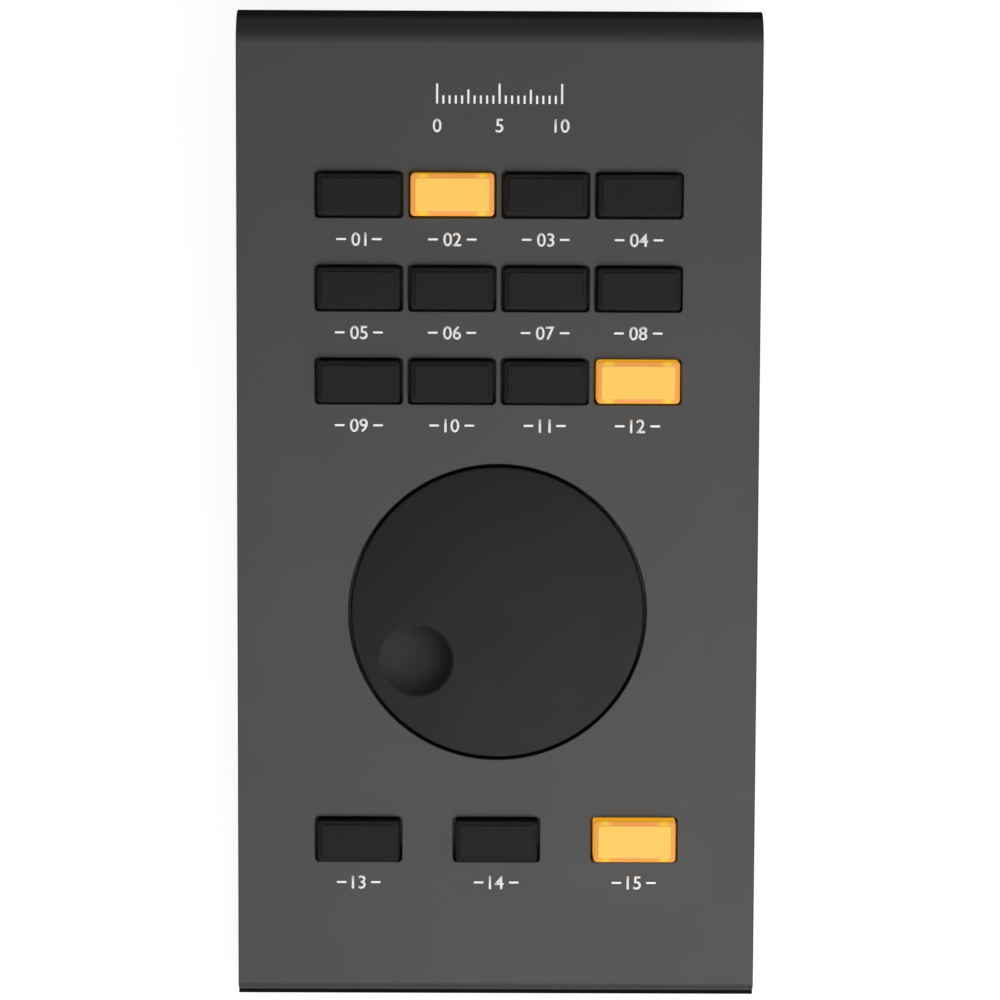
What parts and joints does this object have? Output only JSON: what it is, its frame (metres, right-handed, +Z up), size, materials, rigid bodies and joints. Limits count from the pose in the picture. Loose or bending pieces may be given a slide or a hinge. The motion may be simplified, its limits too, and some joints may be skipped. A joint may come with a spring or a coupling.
{
  "type": "audio interface remote control",
  "caption": "Wedge-shaped desktop remote control for an audio interface, with lit push keys and one large finger dial.",
  "frame": {"origin": "bottom centre of the whole object's box, on the surface that it stands on", "axes": "+X to the user's right, +Y away from the user to the sockets, +Z up; the panel rises towards +Y by 12 degrees"},
  "size_m": [0.1072, 0.203, 0.0543],
  "materials": {
    "shell": "fine anthracite powder coat, semi-gloss",
    "tray": "black powder coat",
    "foot_rubber": "matt rubber",
    "key_dark": "smoked translucent plastic, unlit",
    "key_lit": "translucent plastic, lit amber from inside",
    "dial": "black satin anodised",
    "circuit_board": "green solder mask",
    "switch_body": "moulded",
    "moulded_black": "moulded",
    "plated_steel": "bright zinc plated",
    "socket_steel": "pressed nickel-plated steel",
    "ribbon": "grey flat cable"
  },
  "bodies": {
    "housing": {"top_shell": "shell", "base_tray": "tray", "foot_1": "foot_rubber", "foot_2": "foot_rubber", "foot_3": "foot_rubber", "foot_4": "foot_rubber", "foot_screw_1": "plated_steel", "foot_screw_2": "plated_steel", "foot_screw_3": "plated_steel", "foot_screw_4": "plated_steel", "rear_board": "circuit_board", "rear_board_screw_1": "plated_steel", "rear_board_screw_2": "plated_steel", "usb_socket": "socket_steel", "foot_switch_jack": "moulded_black", "jack_nut": "plated_steel", "rear_header": "moulded_black", "ribbon_cable": "ribbon", "main_board": "circuit_board", "board_nut_1": "plated_steel", "board_nut_2": "plated_steel", "board_nut_3": "plated_steel", "board_nut_4": "plated_steel", "main_header": "moulded_black", "microcontroller": "moulded_black", "encoder_body": "socket_steel", "key_switch_01": "switch_body", "key_switch_02": "switch_body", "key_switch_03": "switch_body", "key_switch_04": "switch_body", "key_switch_05": "switch_body", "key_switch_06": "switch_body", "key_switch_07": "switch_body", "key_switch_08": "switch_body", "key_switch_09": "switch_body", "key_switch_10": "switch_body", "key_switch_11": "switch_body", "key_switch_12": "switch_body", "key_switch_13": "switch_body", "key_switch_14": "switch_body", "key_switch_15": "switch_body"},
    "dial": {"dial_wheel": "dial", "encoder_shaft": "plated_steel"},
    "key_01": {"key_cap_01": "key_dark"},
    "key_02": {"key_cap_02": "key_lit"},
    "key_03": {"key_cap_03": "key_dark"},
    "key_04": {"key_cap_04": "key_dark"},
    "key_05": {"key_cap_05": "key_dark"},
    "key_06": {"key_cap_06": "key_dark"},
    "key_07": {"key_cap_07": "key_dark"},
    "key_08": {"key_cap_08": "key_dark"},
    "key_09": {"key_cap_09": "key_dark"},
    "key_10": {"key_cap_10": "key_dark"},
    "key_11": {"key_cap_11": "key_dark"},
    "key_12": {"key_cap_12": "key_lit"},
    "key_13": {"key_cap_13": "key_dark"},
    "key_14": {"key_cap_14": "key_dark"},
    "key_15": {"key_cap_15": "key_lit"}
  },
  "joints": [
    {"name": "dial_turn", "type": "hinge", "parent": "housing", "child": "dial", "pos_m": [0, -0.02314, 0.02999], "axis": [0, -0.2079, 0.9781], "continuous": true},
    {"name": "key_01_press", "type": "slide", "parent": "housing", "child": "key_01", "axis": [0, -0.2079, 0.9781], "range_m": [-0.001, 0], "stiffness_N_per_m": 800, "springref_m": 0.001},
    {"name": "key_02_press", "type": "slide", "parent": "housing", "child": "key_02", "axis": [0, -0.2079, 0.9781], "range_m": [-0.001, 0], "stiffness_N_per_m": 800, "springref_m": 0.001},
    {"name": "key_03_press", "type": "slide", "parent": "housing", "child": "key_03", "axis": [0, -0.2079, 0.9781], "range_m": [-0.001, 0], "stiffness_N_per_m": 800, "springref_m": 0.001},
    {"name": "key_04_press", "type": "slide", "parent": "housing", "child": "key_04", "axis": [0, -0.2079, 0.9781], "range_m": [-0.001, 0], "stiffness_N_per_m": 800, "springref_m": 0.001},
    {"name": "key_05_press", "type": "slide", "parent": "housing", "child": "key_05", "axis": [0, -0.2079, 0.9781], "range_m": [-0.001, 0], "stiffness_N_per_m": 800, "springref_m": 0.001},
    {"name": "key_06_press", "type": "slide", "parent": "housing", "child": "key_06", "axis": [0, -0.2079, 0.9781], "range_m": [-0.001, 0], "stiffness_N_per_m": 800, "springref_m": 0.001},
    {"name": "key_07_press", "type": "slide", "parent": "housing", "child": "key_07", "axis": [0, -0.2079, 0.9781], "range_m": [-0.001, 0], "stiffness_N_per_m": 800, "springref_m": 0.001},
    {"name": "key_08_press", "type": "slide", "parent": "housing", "child": "key_08", "axis": [0, -0.2079, 0.9781], "range_m": [-0.001, 0], "stiffness_N_per_m": 800, "springref_m": 0.001},
    {"name": "key_09_press", "type": "slide", "parent": "housing", "child": "key_09", "axis": [0, -0.2079, 0.9781], "range_m": [-0.001, 0], "stiffness_N_per_m": 800, "springref_m": 0.001},
    {"name": "key_10_press", "type": "slide", "parent": "housing", "child": "key_10", "axis": [0, -0.2079, 0.9781], "range_m": [-0.001, 0], "stiffness_N_per_m": 800, "springref_m": 0.001},
    {"name": "key_11_press", "type": "slide", "parent": "housing", "child": "key_11", "axis": [0, -0.2079, 0.9781], "range_m": [-0.001, 0], "stiffness_N_per_m": 800, "springref_m": 0.001},
    {"name": "key_12_press", "type": "slide", "parent": "housing", "child": "key_12", "axis": [0, -0.2079, 0.9781], "range_m": [-0.001, 0], "stiffness_N_per_m": 800, "springref_m": 0.001},
    {"name": "key_13_press", "type": "slide", "parent": "housing", "child": "key_13", "axis": [0, -0.2079, 0.9781], "range_m": [-0.001, 0], "stiffness_N_per_m": 800, "springref_m": 0.001},
    {"name": "key_14_press", "type": "slide", "parent": "housing", "child": "key_14", "axis": [0, -0.2079, 0.9781], "range_m": [-0.001, 0], "stiffness_N_per_m": 800, "springref_m": 0.001},
    {"name": "key_15_press", "type": "slide", "parent": "housing", "child": "key_15", "axis": [0, -0.2079, 0.9781], "range_m": [-0.001, 0], "stiffness_N_per_m": 800, "springref_m": 0.001}
  ]
}
